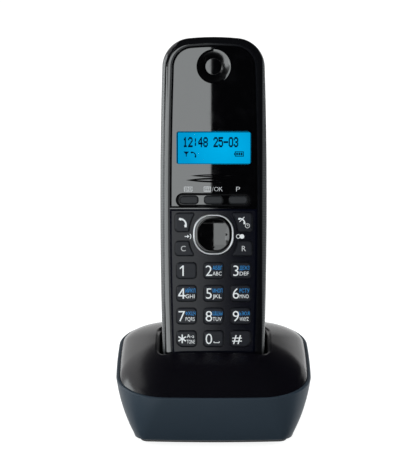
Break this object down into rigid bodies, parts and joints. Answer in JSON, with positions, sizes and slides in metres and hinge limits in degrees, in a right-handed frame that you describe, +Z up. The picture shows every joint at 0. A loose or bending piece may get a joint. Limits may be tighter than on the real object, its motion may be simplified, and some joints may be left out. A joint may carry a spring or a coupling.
{
  "type": "cordless phone with base",
  "caption": "Slim cordless phone handset with a backlit display, keypad and round navigator key, leaning upright in a low rounded charging base.",
  "frame": {"origin": "on the desk under the middle of the base", "axes": "+X to the right seen from the front, +Y to the rear, +Z up"},
  "size_m": [0.0898, 0.0808, 0.1751],
  "materials": {
    "case_black": "fine grained black",
    "body_slate": "satin slate",
    "panel_gloss": "high gloss black",
    "plate_satin": "satin black",
    "cover_black": "satin black",
    "key_black": "semi gloss black",
    "navigator_gloss": "high gloss black",
    "ring_silver": "bright silver",
    "window_clear": "clear, hard coated",
    "display_blue": "backlit blue display",
    "light_white": "white",
    "board_green": "solder mask",
    "metal": "plated steel",
    "gold_wire": "gold plated",
    "capsule": "pressed can",
    "soft_rubber": "soft black",
    "battery_sleeve": "plain printed sleeve",
    "inner_black": "black",
    "button_grey": "satin grey"
  },
  "bodies": {
    "base": {"base_body": "body_slate", "base_top_cover": "cover_black", "base_bottom_plate": "inner_black", "base_feet": "soft_rubber", "base_screws": "metal", "base_board": "board_green", "base_components": "inner_black", "dc_jack": "inner_black", "dc_pin": "metal", "line_jack": "inner_black", "line_contacts": "gold_wire", "locator_switch": "inner_black"},
    "handset": {"handset_front_case": "case_black", "handset_rear_case": "case_black", "upper_panel": "panel_gloss", "keypad_plate": "plate_satin", "navigator_ring": "ring_silver", "keymat": "soft_rubber", "handset_board": "board_green", "shield_can": "metal", "display_window": "window_clear", "lcd_cell": "display_blue", "lcd_light_box": "light_white", "earpiece_capsule": "capsule", "ringer_speaker": "capsule", "microphone": "capsule", "battery_left": "battery_sleeve", "battery_right": "battery_sleeve", "battery_springs": "metal", "battery_plates": "metal", "handset_screws": "metal", "charge_pads": "metal"},
    "key_1": {"key_1": "key_black"},
    "key_2": {"key_2": "key_black"},
    "key_3": {"key_3": "key_black"},
    "key_4": {"key_4": "key_black"},
    "key_5": {"key_5": "key_black"},
    "key_6": {"key_6": "key_black"},
    "key_7": {"key_7": "key_black"},
    "key_8": {"key_8": "key_black"},
    "key_9": {"key_9": "key_black"},
    "key_star": {"key_star": "key_black"},
    "key_0": {"key_0": "key_black"},
    "key_hash": {"key_hash": "key_black"},
    "key_talk": {"key_talk": "key_black"},
    "key_off": {"key_off": "key_black"},
    "key_clear": {"key_clear": "key_black"},
    "key_recall": {"key_recall": "key_black"},
    "soft_key_left": {"soft_key_left": "key_black"},
    "soft_key_middle": {"soft_key_middle": "key_black"},
    "soft_key_right": {"soft_key_right": "key_black"},
    "navigator_pivot": {"navigator_pivot": "inner_black"},
    "navigator_key": {"navigator_key": "navigator_gloss"},
    "battery_cover": {"battery_cover": "case_black"},
    "charge_leaf_left": {"charge_leaf_left": "metal"},
    "charge_leaf_right": {"charge_leaf_right": "metal"},
    "locator_button": {"locator_button": "button_grey"}
  },
  "joints": [
    {"name": "handset_lift", "type": "slide", "parent": "base", "child": "handset", "axis": [0, 0.2588, 0.9659], "range_m": [0, 0.08]},
    {"name": "key_1_press", "type": "slide", "parent": "handset", "child": "key_1", "axis": [0, 0.9659, -0.2588], "range_m": [0, 0.0008], "stiffness_N_per_m": 300, "springref_m": -0.0006},
    {"name": "key_2_press", "type": "slide", "parent": "handset", "child": "key_2", "axis": [0, 0.9659, -0.2588], "range_m": [0, 0.0008], "stiffness_N_per_m": 300, "springref_m": -0.0006},
    {"name": "key_3_press", "type": "slide", "parent": "handset", "child": "key_3", "axis": [0, 0.9659, -0.2588], "range_m": [0, 0.0008], "stiffness_N_per_m": 300, "springref_m": -0.0006},
    {"name": "key_4_press", "type": "slide", "parent": "handset", "child": "key_4", "axis": [0, 0.9659, -0.2588], "range_m": [0, 0.0008], "stiffness_N_per_m": 300, "springref_m": -0.0006},
    {"name": "key_5_press", "type": "slide", "parent": "handset", "child": "key_5", "axis": [0, 0.9659, -0.2588], "range_m": [0, 0.0008], "stiffness_N_per_m": 300, "springref_m": -0.0006},
    {"name": "key_6_press", "type": "slide", "parent": "handset", "child": "key_6", "axis": [0, 0.9659, -0.2588], "range_m": [0, 0.0008], "stiffness_N_per_m": 300, "springref_m": -0.0006},
    {"name": "key_7_press", "type": "slide", "parent": "handset", "child": "key_7", "axis": [0, 0.9659, -0.2588], "range_m": [0, 0.0008], "stiffness_N_per_m": 300, "springref_m": -0.0006},
    {"name": "key_8_press", "type": "slide", "parent": "handset", "child": "key_8", "axis": [0, 0.9659, -0.2588], "range_m": [0, 0.0008], "stiffness_N_per_m": 300, "springref_m": -0.0006},
    {"name": "key_9_press", "type": "slide", "parent": "handset", "child": "key_9", "axis": [0, 0.9659, -0.2588], "range_m": [0, 0.0008], "stiffness_N_per_m": 300, "springref_m": -0.0006},
    {"name": "key_star_press", "type": "slide", "parent": "handset", "child": "key_star", "axis": [0, 0.9659, -0.2588], "range_m": [0, 0.0008], "stiffness_N_per_m": 300, "springref_m": -0.0006},
    {"name": "key_0_press", "type": "slide", "parent": "handset", "child": "key_0", "axis": [0, 0.9659, -0.2588], "range_m": [0, 0.0008], "stiffness_N_per_m": 300, "springref_m": -0.0006},
    {"name": "key_hash_press", "type": "slide", "parent": "handset", "child": "key_hash", "axis": [0, 0.9659, -0.2588], "range_m": [0, 0.0008], "stiffness_N_per_m": 300, "springref_m": -0.0006},
    {"name": "key_talk_press", "type": "slide", "parent": "handset", "child": "key_talk", "axis": [0, 0.9659, -0.2588], "range_m": [0, 0.0008], "stiffness_N_per_m": 300, "springref_m": -0.0006},
    {"name": "key_off_press", "type": "slide", "parent": "handset", "child": "key_off", "axis": [0, 0.9659, -0.2588], "range_m": [0, 0.0008], "stiffness_N_per_m": 300, "springref_m": -0.0006},
    {"name": "key_clear_press", "type": "slide", "parent": "handset", "child": "key_clear", "axis": [0, 0.9659, -0.2588], "range_m": [0, 0.0008], "stiffness_N_per_m": 300, "springref_m": -0.0006},
    {"name": "key_recall_press", "type": "slide", "parent": "handset", "child": "key_recall", "axis": [0, 0.9659, -0.2588], "range_m": [0, 0.0008], "stiffness_N_per_m": 300, "springref_m": -0.0006},
    {"name": "soft_key_left_press", "type": "slide", "parent": "handset", "child": "soft_key_left", "axis": [0, 0.9659, -0.2588], "range_m": [0, 0.0008], "stiffness_N_per_m": 300, "springref_m": -0.0006},
    {"name": "soft_key_middle_press", "type": "slide", "parent": "handset", "child": "soft_key_middle", "axis": [0, 0.9659, -0.2588], "range_m": [0, 0.0008], "stiffness_N_per_m": 300, "springref_m": -0.0006},
    {"name": "soft_key_right_press", "type": "slide", "parent": "handset", "child": "soft_key_right", "axis": [0, 0.9659, -0.2588], "range_m": [0, 0.0008], "stiffness_N_per_m": 300, "springref_m": -0.0006},
    {"name": "navigator_pitch", "type": "hinge", "parent": "handset", "child": "navigator_pivot", "pos_m": [0, 0.00592, 0.08769], "axis": [1, 0, 0], "range_deg": [-4, 4], "stiffness_Nm_per_rad": 0.02},
    {"name": "navigator_roll", "type": "hinge", "parent": "navigator_pivot", "child": "navigator_key", "pos_m": [0, 0.00592, 0.08769], "axis": [0, 0.2588, 0.9659], "range_deg": [-4, 4], "stiffness_Nm_per_rad": 0.02},
    {"name": "battery_cover_off", "type": "slide", "parent": "handset", "child": "battery_cover", "axis": [0, 0.9659, -0.2588], "range_m": [0, 0.025]},
    {"name": "charge_leaf_left_press", "type": "slide", "parent": "base", "child": "charge_leaf_left", "axis": [0, 0.2588, 0.9659], "range_m": [-0.001, 0], "stiffness_N_per_m": 200, "springref_m": 0.0008},
    {"name": "charge_leaf_right_press", "type": "slide", "parent": "base", "child": "charge_leaf_right", "axis": [0, 0.2588, 0.9659], "range_m": [-0.001, 0], "stiffness_N_per_m": 200, "springref_m": 0.0008},
    {"name": "locator_press", "type": "slide", "parent": "base", "child": "locator_button", "axis": [0, -1, 0], "range_m": [0, 0.0008], "stiffness_N_per_m": 300, "springref_m": -0.0006}
  ]
}
